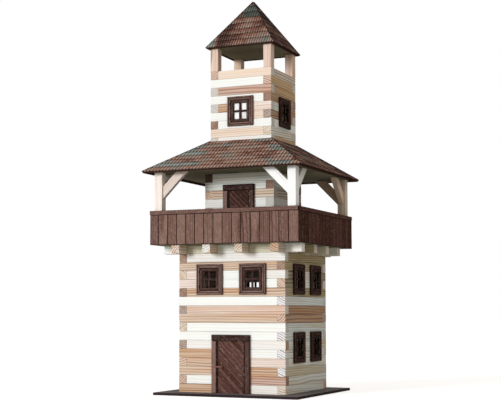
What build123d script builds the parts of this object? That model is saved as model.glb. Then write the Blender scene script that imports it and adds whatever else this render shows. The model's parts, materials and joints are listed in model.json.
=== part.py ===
from build123d import *
import math
import os

# A wooden kit model of a fire lookout tower, in millimetres.
# The origin is the middle of the base board's underside, +Z is up and the door faces -Y.

# The square strip that walls, joists, posts and braces are cut from
strip = 10.0
arris = 0.6

# Base board
base_side = 178.0
base_thick = 3.0

# The three stacked log bodies
lower_side = 133.5
lower_courses = 16
middle_side = 88.3
middle_courses = 8
upper_side = 78.5
upper_courses = 12

# Joists that carry the gallery
joist_overhang = 20.0
inner_joist_pitch = 40.0
inner_joist_shift = -2.4
side_joist_pitch = 40.0
side_joists = 4

# Gallery floor and the boarded parapet round it
floor_thick = 5.0
parapet_side = 185.0
parapet_high = 39.7
parapet_board = 3.2
rail_high = 5.0
rail_thick = 4.0

# Corner braces under the gallery roof, in the middle of the posts' width
brace_reach = 31.0
brace_thick = 6.0

# Gallery roof
ceiling_thick = 4.0
roof_board = 3.2
gallery_eave_side = 200.0
gallery_eave_drop = 1.4
gallery_pitch = 33.1

# Open belfry and its tall roof
belfry_post_high = 28.0
belfry_ceiling_thick = 3.0
belfry_eave_side = 89.0
belfry_eave_drop = 0.8
belfry_pitch = 54.6

# Windows, each a mitred casing with a crossed sash, glued over its hole
window_wide = 33.2
window_high = 35.5
pane_wide = 16.6
pane_high = 19.0
casing_wide = 4.3
casing_thick = 3.0
casing_corner = 0.8
casing_bevel = 0.8
sash_gap = 0.8
sash_rebate = 1.4
sash_raise = 0.9
sash_bevel = 0.4
bar_setback = 0.5
glazing_bar = 2.6
window_pitch = 54.0
hole_wide = 22.0
hole_courses = 2

# Which course each row of window holes starts on, counted from the floor of its body
ground_front_course = 4
first_front_course = 12
far_course_drop = 1
upper_window_course = 6
ground_window_lift = 1.8

# Doors
door_wide = 47.5
door_high = 66.5
gallery_door_wide = 39.3
jamb_wide = 7.7
jamb_thick = 3.0
head_high = 7.0
head_thick = 3.5
moulding_wide = 1.0
moulding_deep = 0.7
door_leaf_thick = 4.0
door_leaf_setback = 1.6
door_courses = 6
gallery_door_courses = 6
handle_high = 30.0
handle_long = 9.5
handle_rod = 1.6
handle_neck = 2.6
handle_plate = 3.6
keyhole_rise = 4.4

# Heights that follow from the stack
lower_base = base_thick
lower_top = lower_base + lower_courses * strip
floor_base = lower_top + strip
middle_base = floor_base + floor_thick
middle_top = middle_base + middle_courses * strip
upper_base = middle_top + ceiling_thick
upper_top = upper_base + upper_courses * strip
belfry_top = upper_top + belfry_post_high

parapet_inner = parapet_side - 2 * rail_thick


def save(shape, name):
    export_step(shape, "parts/" + name + ".step")


def upright_box(long, wide, high, x, y, z):
    # A box that stands on height z with its middle over x, y
    return Pos(x, y, z + high / 2) * Box(long, wide, high)


def beam(long, x, y, z):
    # One length of square strip along X with its long arrises eased
    stick = Box(long, strip, strip)
    stick = chamfer(stick.edges().filter_by(Axis.X), arris)
    return Pos(x, y, z + strip / 2) * stick


def quarter_turn(shape, turns):
    return Rot(0, 0, 90 * turns) * shape


# Log walls, lapped like a pinwheel: each beam runs from one corner to one strip short of the other


def log_wall(side, courses, base):
    line = -side / 2 + strip / 2
    wall = None
    for course in range(courses):
        shift = -strip / 2 if course % 2 == 0 else strip / 2
        stick = beam(side - strip, shift, line, base + course * strip)
        wall = stick if wall is None else wall + stick
    return wall


def cut_hole(wall, side, base, first_course, courses, wide, x):
    hole = upright_box(wide, 3 * strip, courses * strip, x, -side / 2, base + first_course * strip)
    return wall - hole


# Windows


def window_unit():
    # A bevelled casing round a sash with crossed bars, its back at y = 0 and its middle at the origin
    unit = Box(window_wide, casing_thick, window_high)
    unit = chamfer(unit.edges().filter_by(Axis.Y), casing_corner)
    front = unit.faces().sort_by(Axis.Y)[0]
    unit = chamfer(front.outer_wire().edges(), casing_bevel)
    rebate_wide = window_wide - 2 * casing_wide
    rebate_high = window_high - 2 * casing_wide
    rebate_floor = -casing_thick / 2 + sash_rebate
    unit = unit - Pos(0, -casing_thick / 2, 0) * Box(rebate_wide, 2 * sash_rebate, rebate_high)
    sash = Box(rebate_wide - 2 * sash_gap, sash_raise, rebate_high - 2 * sash_gap)
    sash_front = sash.faces().sort_by(Axis.Y)[0]
    sash = chamfer(sash_front.outer_wire().edges(), sash_bevel)
    sash = sash - Pos(0, -sash_raise / 2, 0) * Box(pane_wide, 2 * bar_setback, pane_high)
    unit = unit + Pos(0, rebate_floor - sash_raise / 2, 0) * sash
    light_wide = (pane_wide - glazing_bar) / 2
    light_high = (pane_high - glazing_bar) / 2
    light = Box(light_wide, 3 * casing_thick, light_high)
    for along in (-1, 1):
        for up in (-1, 1):
            light_x = along * (light_wide + glazing_bar) / 2
            light_z = up * (light_high + glazing_bar) / 2
            unit = unit - Pos(light_x, 0, light_z) * light
    return Pos(0, -casing_thick / 2, 0) * unit


def hole_middle(base, first_course):
    return base + (first_course + hole_courses / 2) * strip


# Doors


def door_frame(wide, high, face, sill):
    # Two moulded jambs under a head that stands a little proud of them
    jamb = upright_box(jamb_wide, jamb_thick, high - head_high, 0, face - jamb_thick / 2, sill)
    groove = upright_box(moulding_wide, 2 * moulding_deep, high, 0, face - jamb_thick, sill)
    jamb = jamb - groove
    head = upright_box(wide, head_thick, head_high, 0, face - head_thick / 2, sill + high - head_high)
    head_face = head.faces().sort_by(Axis.Y)[0]
    head = chamfer(head_face.outer_wire().edges(), arris)
    jamb_x = (wide - jamb_wide) / 2
    return head + Pos(-jamb_x, 0, 0) * jamb + Pos(jamb_x, 0, 0) * jamb


def door_leaf(wide, high, face, sill):
    # The leaf lies in the frame, with a lever handle and a small keyhole cover above it
    leaf_wide = wide - 2 * jamb_wide
    front = face - jamb_thick + door_leaf_setback
    leaf = upright_box(leaf_wide, door_leaf_thick, high - head_high, 0, front + door_leaf_thick / 2, sill)
    neck_x = -leaf_wide / 2 + 2 * handle_neck
    grip_z = sill + handle_high
    neck_long = handle_neck + handle_rod / 2
    neck = Pos(neck_x, front - neck_long / 2, grip_z) * Rot(90, 0, 0) * Cylinder(handle_rod / 2, neck_long)
    plate = Pos(neck_x, front - handle_rod / 4, grip_z) * Box(handle_plate, handle_rod / 2, handle_plate)
    cover = Pos(neck_x, front, grip_z + keyhole_rise) * Rot(90, 0, 0) * Cylinder(handle_rod / 2, handle_rod)
    lever = fillet(Box(handle_long, handle_rod, handle_rod).edges().filter_by(Axis.X), handle_rod / 4)
    lever_x = neck_x + (handle_rod - handle_long) / 2
    lever = Pos(lever_x, front - handle_neck, grip_z) * lever
    return leaf + neck + plate + cover + lever


# Hipped roofs


def hip_panel(eave_side, pitch, base, inner_half):
    # One mitred panel of a hipped roof, on the -Y side
    # Its lower edge is at height base and it runs up to inner_half from the centre line
    slope = math.radians(pitch)
    top_out = eave_side / 2
    foot_out = top_out - roof_board * math.sin(slope)
    top_eave = base + roof_board * math.cos(slope)
    foot_ridge = base + (foot_out - inner_half) * math.tan(slope)
    top_ridge = top_eave + (top_out - inner_half) * math.tan(slope)
    corners = [
        (-foot_out, base),
        (-top_out, top_eave),
        (-inner_half, top_ridge),
        (-inner_half, foot_ridge),
    ]
    section = Plane.YZ * make_face(Polyline(*corners, close=True))
    slab = extrude(section, eave_side, both=True)
    reach = eave_side
    mitre = make_face(Polyline((0, 0), (-reach, -reach), (reach, -reach), close=True))
    wedge = extrude(mitre, 2 * top_ridge)
    return slab & wedge


def ceiling_side(eave_side, pitch, rise):
    # A flat ceiling reaches out to where the panels' underside is rise above their lower edge
    slope = math.radians(pitch)
    return eave_side - 2 * roof_board * math.sin(slope) - 2 * rise / math.tan(slope)


os.makedirs("parts", exist_ok=True)
side_names = ["front", "right", "back", "left"]

# Base board
save(upright_box(base_side, base_side, base_thick, 0, 0, 0), "base_board")

# Joists: four run through from front to back, and short stubs stand out on each side
outer_joist = lower_side / 2 - strip / 2
inner_joist = inner_joist_pitch / 2
joist_places = [-outer_joist, inner_joist_shift - inner_joist, inner_joist_shift + inner_joist, outer_joist]
joist_long = lower_side + 2 * joist_overhang
joists = Compound(
    [Pos(x, 0, 0) * quarter_turn(beam(joist_long, 0, 0, lower_top), 1) for x in joist_places]
)
save(joists, "through_joists")

stub_places = [-outer_joist + place * side_joist_pitch for place in range(side_joists)]
stub_x = lower_side / 2 + joist_overhang / 2
right_stubs = Compound([beam(joist_overhang, stub_x, y, lower_top) for y in stub_places])
left_stubs = Compound([beam(joist_overhang, -stub_x, y, lower_top) for y in stub_places])
save(right_stubs, "right_joist_stubs")
save(left_stubs, "left_joist_stubs")

# Lower body
lower_line = -lower_side / 2 + strip / 2
for turn, name in enumerate(side_names):
    wall = log_wall(lower_side, lower_courses, lower_base)
    near = name in ("front", "right")
    drop = 0 if near else far_course_drop
    first = first_front_course - drop
    ground = ground_front_course - drop
    for x in (-window_pitch / 2, window_pitch / 2):
        wall = cut_hole(wall, lower_side, lower_base, first, hole_courses, hole_wide, x)
        if name != "front":
            wall = cut_hole(wall, lower_side, lower_base, ground, hole_courses, hole_wide, x)
    if name == "front":
        doorway = door_wide - 2 * jamb_wide
        wall = cut_hole(wall, lower_side, lower_base, 0, door_courses, doorway, 0)
    if name in ("front", "back"):
        # Short infill pieces close the joist course between the joists
        for here, beyond in zip(joist_places, joist_places[1:]):
            middle_x = (here + beyond) / 2
            if name == "back":
                middle_x = -middle_x
            infill = beam(beyond - here - strip, middle_x, lower_line, lower_top)
            wall = wall + infill
    save(quarter_turn(wall, turn), "lower_" + name + "_wall")

# Windows of the lower body, glued on over their holes
window = window_unit()
ground_windows = []
first_windows = []
for turn, name in enumerate(side_names):
    near = name in ("front", "right")
    drop = 0 if near else far_course_drop
    face = -lower_side / 2
    for x in (-window_pitch / 2, window_pitch / 2):
        first_middle = hole_middle(lower_base, first_front_course - drop)
        ground_middle = hole_middle(lower_base, ground_front_course - drop) + ground_window_lift
        first_windows.append(quarter_turn(Pos(x, face, first_middle) * window, turn))
        if name != "front":
            ground_windows.append(quarter_turn(Pos(x, face, ground_middle) * window, turn))
save(Compound(ground_windows), "ground_windows")
save(Compound(first_windows), "first_floor_windows")

# Entrance
save(door_frame(door_wide, door_high, -lower_side / 2, lower_base), "entrance_frame")
save(door_leaf(door_wide, door_high, -lower_side / 2, lower_base), "entrance_leaf")

# Gallery floor
save(upright_box(parapet_inner, parapet_inner, floor_thick, 0, 0, floor_base), "gallery_floor")

# Parapet: boarded panels under a thicker rail
for turn, name in enumerate(side_names):
    long = parapet_side if turn % 2 == 0 else parapet_inner
    outer = -parapet_side / 2
    inner = -parapet_inner / 2
    board_face = inner - parapet_board
    boards = upright_box(long, parapet_board, parapet_high, 0, (inner + board_face) / 2, floor_base)
    rail_z = floor_base + parapet_high - rail_high
    rail = upright_box(long, rail_thick, rail_high, 0, (inner + outer) / 2, rail_z)
    save(quarter_turn(boards + rail, turn), "parapet_" + name)

# Gallery posts and their braces
post_line = parapet_inner / 2 - strip / 2
post_high = middle_top - middle_base
post = upright_box(strip, strip, post_high, 0, 0, middle_base)
post = chamfer(post.edges().filter_by(Axis.Z), arris)
posts = Compound([Pos(x, y, 0) * post for x in (-post_line, post_line) for y in (-post_line, post_line)])
save(posts, "gallery_posts")

for turn, name in enumerate(side_names):
    foot = post_line - strip / 2
    wide = strip * math.sqrt(2)
    outline = [
        (foot, middle_top - brace_reach),
        (foot, middle_top - brace_reach + wide),
        (foot - brace_reach + wide, middle_top),
        (foot - brace_reach, middle_top),
    ]
    face = make_face(Polyline(*outline, close=True))
    brace = extrude(Plane.XZ * face, brace_thick / 2, both=True)
    brace = Pos(0, -post_line, 0) * brace
    pair = Compound([brace, mirror(brace, Plane.YZ)])
    save(quarter_turn(pair, turn), "gallery_braces_" + name)

# Middle body
for turn, name in enumerate(side_names):
    wall = log_wall(middle_side, middle_courses, middle_base)
    if name == "front":
        doorway = gallery_door_wide - 2 * jamb_wide
        wall = cut_hole(wall, middle_side, middle_base, 0, gallery_door_courses, doorway, 0)
    save(quarter_turn(wall, turn), "middle_" + name + "_wall")
save(door_frame(gallery_door_wide, door_high, -middle_side / 2, middle_base), "gallery_door_frame")
save(door_leaf(gallery_door_wide, door_high, -middle_side / 2, middle_base), "gallery_door_leaf")

# Gallery ceiling and roof
gallery_ceiling_side = ceiling_side(gallery_eave_side, gallery_pitch, gallery_eave_drop + ceiling_thick)
gallery_ceiling = upright_box(gallery_ceiling_side, gallery_ceiling_side, ceiling_thick, 0, 0, middle_top)
save(gallery_ceiling, "gallery_ceiling")
for turn, name in enumerate(side_names):
    gallery_eave = middle_top - gallery_eave_drop
    panel = hip_panel(gallery_eave_side, gallery_pitch, gallery_eave, upper_side / 2)
    save(quarter_turn(panel, turn), "gallery_roof_" + name)

# Upper body
upper_windows = []
for turn, name in enumerate(side_names):
    wall = log_wall(upper_side, upper_courses, upper_base)
    wall = cut_hole(wall, upper_side, upper_base, upper_window_course, hole_courses, hole_wide, 0)
    save(quarter_turn(wall, turn), "upper_" + name + "_wall")
    middle = hole_middle(upper_base, upper_window_course)
    upper_windows.append(quarter_turn(Pos(0, -upper_side / 2, middle) * window, turn))
save(Compound(upper_windows), "upper_windows")

# Belfry
belfry_line = upper_side / 2 - strip / 2
belfry_post = upright_box(strip, strip, belfry_post_high, 0, 0, upper_top)
belfry_post = chamfer(belfry_post.edges().filter_by(Axis.Z), arris)
belfry_posts = Compound(
    [Pos(x, y, 0) * belfry_post for x in (-belfry_line, belfry_line) for y in (-belfry_line, belfry_line)]
)
save(belfry_posts, "belfry_posts")
belfry_ceiling_side = ceiling_side(belfry_eave_side, belfry_pitch, belfry_eave_drop + belfry_ceiling_thick)
belfry_ceiling = upright_box(belfry_ceiling_side, belfry_ceiling_side, belfry_ceiling_thick, 0, 0, belfry_top)
save(belfry_ceiling, "belfry_ceiling")
for turn, name in enumerate(side_names):
    panel = hip_panel(belfry_eave_side, belfry_pitch, belfry_top - belfry_eave_drop, 0)
    save(quarter_turn(panel, turn), "belfry_roof_" + name)
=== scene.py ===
import bpy
import json
import math
import random
from mathutils import Matrix, Vector

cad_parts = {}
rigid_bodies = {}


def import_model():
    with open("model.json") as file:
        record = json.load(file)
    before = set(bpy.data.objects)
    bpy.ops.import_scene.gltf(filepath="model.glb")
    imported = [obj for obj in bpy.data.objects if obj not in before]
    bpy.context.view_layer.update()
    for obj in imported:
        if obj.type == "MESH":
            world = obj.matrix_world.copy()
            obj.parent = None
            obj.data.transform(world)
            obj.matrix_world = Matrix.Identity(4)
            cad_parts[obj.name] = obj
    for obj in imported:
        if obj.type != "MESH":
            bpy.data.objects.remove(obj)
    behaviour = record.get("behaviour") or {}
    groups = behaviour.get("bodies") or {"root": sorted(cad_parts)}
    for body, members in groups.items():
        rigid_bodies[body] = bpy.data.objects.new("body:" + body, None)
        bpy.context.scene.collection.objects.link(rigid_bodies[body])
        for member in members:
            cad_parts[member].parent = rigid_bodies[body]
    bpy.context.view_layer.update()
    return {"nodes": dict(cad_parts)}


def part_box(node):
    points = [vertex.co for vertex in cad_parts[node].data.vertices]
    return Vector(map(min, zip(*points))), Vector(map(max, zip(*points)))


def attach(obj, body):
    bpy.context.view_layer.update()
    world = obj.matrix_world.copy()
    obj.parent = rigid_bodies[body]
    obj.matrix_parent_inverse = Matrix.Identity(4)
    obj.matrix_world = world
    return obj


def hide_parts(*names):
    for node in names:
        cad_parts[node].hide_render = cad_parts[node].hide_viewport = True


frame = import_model()
random.seed(1932)
mm = 0.001


# Small helpers

def toLinear(hexText):
    # An sRGB colour as linear red, green and blue, and an alpha of 1
    values = [int(hexText[i:i + 2], 16) / 255 for i in (1, 3, 5)]
    return (*(v / 12.92 if v <= 0.04045 else ((v + 0.055) / 1.055) ** 2.4 for v in values), 1)


def addNode(tree, kind, settings):
    # A setting is a value for the node or a socket, or the node or output that is linked to the socket
    node = tree.nodes.new("ShaderNode" + kind)
    for key, value in settings.items():
        if isinstance(value, bpy.types.Node):
            value = next(socket for socket in value.outputs if socket.enabled)
        if isinstance(value, bpy.types.NodeSocket):
            tree.links.new(value, node.inputs[key])
        elif key == "stops":
            for _ in value[2:]:
                node.color_ramp.elements.new(0.5)
            for stop, (position, colour) in zip(node.color_ramp.elements, value):
                stop.position, stop.color = position, colour
        elif isinstance(key, int) or key in node.inputs and not hasattr(node, key):
            node.inputs[key].default_value = value
        else:
            setattr(node, key, value)
    return node


def limits(source, *values):
    # What a Map Range takes: its source, the low and high limit, and what these turn into
    return {0: source, **dict(enumerate(values, 1))}


def newMaterial(name):
    material = bpy.data.materials.new(name)
    material.use_nodes = True
    material.node_tree.nodes.clear()
    return material, material.node_tree


def endMaterial(material, settings):
    shader = addNode(material.node_tree, "BsdfPrincipled", settings)
    addNode(material.node_tree, "OutputMaterial", {0: shader})
    return material


def pickOnly(*pieces):
    # Selects these pieces and nothing else, with the first of them active
    if bpy.context.mode != "OBJECT":
        bpy.ops.object.mode_set(mode="OBJECT")
    bpy.ops.object.select_all(action="DESELECT")
    for piece in pieces:
        piece.select_set(True)
    if pieces:
        bpy.context.view_layer.objects.active = pieces[0]


def startPiece(name):
    # An empty mesh at the origin, open in edit mode, that primitives are added to
    pickOnly()
    bpy.ops.mesh.primitive_cube_add(size=1)
    piece = bpy.context.active_object
    piece.name = piece.data.name = name
    bpy.ops.object.mode_set(mode="EDIT")
    bpy.ops.mesh.select_all(action="SELECT")
    bpy.ops.mesh.delete(type="VERT")
    return piece


def endPiece(piece, materials, bevel=0.0, segments=2, edgeIndex=-1):
    # The first material covers the faces, and edgeIndex names the one that the eased edges take
    bpy.ops.object.mode_set(mode="OBJECT")
    piece.data.materials.clear()
    for material in materials:
        piece.data.materials.append(material)
    if bevel:
        modifier = piece.modifiers.new("easedArris", "BEVEL")
        modifier.width = bevel
        modifier.segments = segments
        modifier.limit_method = "ANGLE"
        modifier.material = edgeIndex
        bpy.ops.object.modifier_apply(modifier=modifier.name)
    return piece


def addBox(middle, size, turn=(0, 0, 0)):
    bpy.ops.mesh.primitive_cube_add(size=1, location=middle, rotation=turn, scale=size)


def addRod(sides, radius, long, middle, turn=(math.pi / 2, 0, 0)):
    bpy.ops.mesh.primitive_cylinder_add(vertices=sides, radius=radius, depth=long, location=middle, rotation=turn)


def cutAway(planes, linkedOnly=False):
    # Cuts the open piece back to each plane and closes it there, or only the shell that is selected
    for place, outward in planes:
        if linkedOnly:
            bpy.ops.mesh.select_linked()
        else:
            bpy.ops.mesh.select_all(action="SELECT")
        bpy.ops.mesh.bisect(plane_co=place, plane_no=outward, use_fill=True, clear_outer=True)


def selectBy(piece, kind, test):
    # Selects the points, edges or faces of the open piece that pass a test on their corners
    bpy.ops.mesh.select_mode(type=kind)
    bpy.ops.mesh.select_all(action="DESELECT")
    bpy.ops.object.mode_set(mode="OBJECT")
    mesh = piece.data
    for part in {"VERT": mesh.vertices, "EDGE": mesh.edges, "FACE": mesh.polygons}[kind]:
        corners = [part.index] if kind == "VERT" else part.vertices
        part.select = test([mesh.vertices[i].co for i in corners])
    bpy.ops.object.mode_set(mode="EDIT")


def setPlace(piece, turn=(0, 0, 0), place=(0, 0, 0)):
    # Turns and moves the piece, and puts that into its mesh
    piece.rotation_euler = turn
    piece.location = place
    pickOnly(piece)
    bpy.ops.object.transform_apply(location=True, rotation=True, scale=True)


def quarterCopy(piece, turn, name):
    # A copy with its own mesh, turned about the tower's axis by quarter turns
    pickOnly(piece)
    bpy.ops.object.duplicate(linked=False)
    copy = bpy.context.active_object
    copy.name = copy.data.name = name
    setPlace(copy, (0, 0, turn * math.pi / 2))
    return copy


def dress(piece, slot, *nodes):
    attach(piece, "root")
    if nodes:
        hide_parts(*nodes)


# Camera and light

cameraSettings = {
    "place": (0.5742, -1.3390, 0.0968),
    "turn": 0.436,
    "tilt": 0.085,
    "focalPixels": 1214.8,
    "centrePixel": (216.5, 207.3),
    "imageSize": (500, 400),
    "sensor": 36,
}


def addCamera():
    wide, high = cameraSettings["imageSize"]
    data = bpy.data.cameras.new("photoCamera")
    camera = bpy.data.objects.new("photoCamera", data)
    bpy.context.scene.collection.objects.link(camera)
    data.sensor_width = cameraSettings["sensor"]
    data.lens = cameraSettings["sensor"] * cameraSettings["focalPixels"] / wide
    data.shift_x = (wide / 2 - cameraSettings["centrePixel"][0]) / wide
    data.shift_y = (cameraSettings["centrePixel"][1] - high / 2) / wide
    data.clip_start = 0.01
    camera.location = cameraSettings["place"]
    camera.rotation_euler = (math.pi / 2 + cameraSettings["tilt"], 0, cameraSettings["turn"])
    bpy.context.scene.camera = camera


lightSettings = {
    # Each sun: strength, softness in degrees, colour, and where it shines
    "suns": {
        "softKey": (2.35, 18, (0.97, 1.0, 1.04), (0.416198, 0.892539, -0.173648)),    # low, from the left of the door
        "softSide": (0.35, 80, (1, 1, 1), (-0.9, 0.35, -0.3)),                        # wide and weak, from the right
    },
    "fill": 0.36,
    "fillColour": "#FFF8EC",
    "floorRadius": 12,
    "floorColour": (0.92, 0.92, 0.92, 1),
    "floorGlow": 0.64,    # what the camera alone sees, so that the pale floor is white where nothing shades it
}


def addLights():
    for name, (strength, softness, colour, toward) in lightSettings["suns"].items():
        sun = bpy.data.lights.new(name, "SUN")
        sun.energy = strength
        sun.color = colour
        sun.angle = math.radians(softness)
        lamp = bpy.data.objects.new(name, sun)
        bpy.context.scene.collection.objects.link(lamp)
        lamp.rotation_euler = Vector(toward).to_track_quat("-Z", "Y").to_euler()

    world = bpy.data.worlds.new("studio")
    bpy.context.scene.world = world
    world.use_nodes = True
    tree = world.node_tree
    tree.nodes.clear()
    path = addNode(tree, "LightPath", {}).outputs
    seen = path["Is Camera Ray"]
    for ray in ("Is Glossy Ray", "Is Transmission Ray"):
        seen = addNode(tree, "Math", {"operation": "MAXIMUM", 0: seen, 1: path[ray]})
    fill = {"Color": toLinear(lightSettings["fillColour"]), "Strength": lightSettings["fill"]}
    fill = addNode(tree, "Background", fill)
    white = addNode(tree, "Background", {"Color": (1, 1, 1, 1), "Strength": 1.0})
    both = addNode(tree, "MixShader", {0: seen, 1: fill, 2: white})
    addNode(tree, "OutputWorld", {0: both})


def addFloor():
    pickOnly()
    bpy.ops.mesh.primitive_circle_add(vertices=96, radius=lightSettings["floorRadius"], fill_type="NGON")
    floor = bpy.context.active_object
    floor.name = "studioFloor"
    material, tree = newMaterial("paleFloor")    # matt white studio board
    board = addNode(tree, "BsdfDiffuse", {"Color": lightSettings["floorColour"]})
    seen = addNode(tree, "LightPath", {}).outputs["Is Camera Ray"]
    glow = addNode(tree, "Math", {"operation": "MULTIPLY", 0: seen, 1: lightSettings["floorGlow"]})
    emission = addNode(tree, "Emission", {"Color": (1, 1, 1, 1), "Strength": glow})
    both = addNode(tree, "AddShader", {0: board, 1: emission})
    addNode(tree, "OutputMaterial", {0: both})
    floor.data.materials.append(material)


# Materials

woodTones = {
    # Bare strip wood, from pale to dark, then its warmer, greener and striped sticks; the greener ones partly stand in
    # for the greenish shade, as painted shade
    "chalk": "#FCFCFA", "milk": "#F5F6F1", "ivory": "#FAF0E7", "apricot": "#F2DFCC", "cream": "#F0EDE7",
    "blush": "#EFE0D6", "peach": "#E6CDBD", "straw": "#E6DAC8", "tan": "#DEC6B0", "honey": "#D5B598",
    "rose": "#D3B4A5", "ash": "#D3D0CA", "mauve": "#B9A9A1", "clay": "#B09584", "umber": "#A6897A",
    "bark": "#6D5345", "tawny": "#D3B48C", "oak": "#BC9C7F", "sage": "#EDF0E8", "frost": "#E2EAE6",
    "reed": "#D9D4BC", "moss": "#B7AC86", "olive": "#A0967A", "stripe": "#F2F1F2", "flame": "#E0C4B0",
    # Stained boards, window and door joinery
    "stainA": "#84675D", "stainB": "#7F6359", "stainC": "#7A5E55", "stainD": "#886C61",
    "joineryPale": "#8B7067", "joinery": "#6B4F48", "joineryDark": "#57403A", "joineryDeep": "#42302D",
    "doorA": "#62443D", "doorB": "#543931", "doorC": "#6E4E46", "doorD": "#4E3329", "char": "#1E1614",
}

grainSettings = {
    "pine": {
        "ringWidth": 2.5,      # mm between growth lines, drawn coarser than the real 1 mm, so that they show
        "fibreWidth": 1.3,     # mm
        "fibreLength": 42.0,   # mm
        "wander": 2.6,         # mm that a growth line strays over a beam
        "wanderLength": 70.0,  # mm
        "relief": 0.10,        # mm
        "late": "#A58B7A",     # what late wood does to the colour of the early wood
        "streak": "#F7DFC6",   # what a warm streak does to it
        "shade": (0.78, 1.06),
        "roughness": 0.72,
        "specular": 0.25,
    },
    "stain": {
        "ringWidth": 2.4,
        "fibreWidth": 1.3,
        "fibreLength": 3.2,
        "wander": 2.0,
        "wanderLength": 40.0,
        "relief": 0.16,
        "late": "#C9BAB6",
        "streak": "#EAE2E0",
        "shade": (0.62, 1.3),
        "worn": 0.55,          # how far the stain is rubbed off
        "wornColour": "#A8938A",
        "scuff": (16, 1.6),    # mm, how long and how high a scuff is, drawn larger than life, so that it shows
        "roughness": 0.85,
        "specular": 0.0,
    },
    # Over the width of a growth line: early wood, late wood, and the sharp edge where the next one starts
    "line": [(0.5, (0, 0, 0, 1)), (0.86, (1, 1, 1, 1)), (1.0, (0.1, 0.1, 0.1, 1))],
    "lineWeight": (0.35, 1.5),
    "lineMost": 1.2,
    "streakScale": 0.28,       # streaks are a few fibres wide
}


def makeGrainWood(name, settings):
    # Growth lines are shells round each stick's own pith, so they run along its sides and arc over its ends
    material, tree = newMaterial(name)
    place = addNode(tree, "TexCoord", {}).outputs["Object"]
    pith = addNode(tree, "Attribute", {"attribute_name": "pith"}).outputs["Vector"]
    along = addNode(tree, "Attribute", {"attribute_name": "along"}).outputs["Vector"]
    stored = addNode(tree, "Attribute", {"attribute_name": "tone"}).outputs
    tone, strength = stored["Color"], stored["Alpha"]
    away = addNode(tree, "VectorMath", {"operation": "SUBTRACT", 0: place, 1: pith})
    across = addNode(tree, "VectorMath", {"operation": "CROSS_PRODUCT", 0: away, 1: along})
    radius = addNode(tree, "VectorMath", {"operation": "LENGTH", 0: across})
    slow = addNode(tree, "TexNoise", {"Scale": 1 / (settings["wanderLength"] * mm), "Detail": 1.0, "Vector": away})
    stray = addNode(tree, "Math", {"operation": "MULTIPLY_ADD", 0: slow, 1: settings["wander"] * mm, 2: radius})
    turns = addNode(tree, "Math", {"operation": "DIVIDE", 0: stray, 1: settings["ringWidth"] * mm})
    saw = addNode(tree, "Math", {"operation": "FRACT", 0: turns})
    whole = addNode(tree, "Math", {"operation": "FLOOR", 0: turns})
    chance = addNode(tree, "TexWhiteNoise", {"noise_dimensions": "1D", "W": whole})
    amount = addNode(tree, "ValToRGB", {0: saw, "stops": grainSettings["line"]})
    weight = addNode(tree, "MapRange", limits(chance, 0, 1, *grainSettings["lineWeight"]))
    for factor in (strength, weight):
        amount = addNode(tree, "Math", {"operation": "MULTIPLY", 0: amount, 1: factor})
    amount = addNode(tree, "Math", {"operation": "MINIMUM", 0: amount, 1: grainSettings["lineMost"]})

    # Fibres are stretched along the stick
    fine = {"operation": "SCALE", 0: across, "Scale": 1 / (settings["fibreWidth"] * mm)}
    long = {"operation": "SCALE", 0: away, "Scale": 1 / (settings["fibreLength"] * mm)}
    fine, long = addNode(tree, "VectorMath", fine), addNode(tree, "VectorMath", long)
    fibrePlace = addNode(tree, "VectorMath", {"operation": "ADD", 0: fine, 1: long})
    fibre = addNode(tree, "TexNoise", {"Scale": 1.0, "Detail": 3.0, "Roughness": 0.6, "Vector": fibrePlace})

    late = {"data_type": "RGBA", "blend_type": "MULTIPLY", 0: 1.0, 6: tone, 7: toLinear(settings["late"])}
    late = addNode(tree, "Mix", late)
    colour = addNode(tree, "Mix", {"data_type": "RGBA", "clamp_factor": False, 0: amount, 6: tone, 7: late})

    # Warm streaks on the sides, none on bold end grain
    wide = addNode(tree, "VectorMath", {"operation": "SCALE", 0: fibrePlace, "Scale": grainSettings["streakScale"]})
    streak = addNode(tree, "TexNoise", {"Scale": 1.0, "Detail": 1.0, "Vector": wide})
    streak = addNode(tree, "MapRange", limits(streak, 0.45, 0.65, 0, 1))
    isSide = addNode(tree, "MapRange", limits(strength, 0.9, 1.0, 1, 0))
    for factor in (strength, isSide):
        streak = addNode(tree, "Math", {"operation": "MULTIPLY", 0: streak, 1: factor})
    warm = {"data_type": "RGBA", "blend_type": "MULTIPLY", 0: streak, 6: colour, 7: toLinear(settings["streak"])}
    colour = addNode(tree, "Mix", warm)

    shade = addNode(tree, "MapRange", limits(fibre, 0.3, 0.72, *settings["shade"]))
    shade = addNode(tree, "Mix", {"data_type": "FLOAT", 0: strength, 2: 1.0, 3: shade})
    colour = addNode(tree, "VectorMath", {"operation": "SCALE", 0: colour, "Scale": shade})
    if "worn" in settings:
        # The stain is rubbed thin in flecks along the grain and in level scuffs
        fleck = addNode(tree, "TexNoise", {"Scale": 0.7, "Detail": 4.0, "Roughness": 0.65, "Vector": fibrePlace})
        fleck = addNode(tree, "MapRange", limits(fleck, 0.55, 0.75, 0, settings["worn"]))
        scuffLong, scuffHigh = [1 / (size * mm) for size in settings["scuff"]]
        scuff = addNode(tree, "Mapping", {"Scale": (scuffLong, scuffLong, scuffHigh), "Vector": place})
        scuff = addNode(tree, "TexNoise", {"Scale": 1.0, "Detail": 3.0, "Roughness": 0.6, "Vector": scuff})
        scuff = addNode(tree, "MapRange", limits(scuff, 0.66, 0.74, 0, 0.5))
        rubbed = addNode(tree, "Math", {"operation": "MAXIMUM", 0: fleck, 1: scuff})
        worn = {"data_type": "RGBA", 0: rubbed, 6: colour, 7: toLinear(settings["wornColour"])}
        colour = addNode(tree, "Mix", worn)
    bump = addNode(tree, "Bump", {"Strength": 0.6, "Distance": settings["relief"] * mm, "Height": fibre})
    return endMaterial(material, {
        "Base Color": colour, "Normal": bump,
        "Roughness": settings["roughness"], "Specular IOR Level": settings["specular"],
    })


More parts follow.
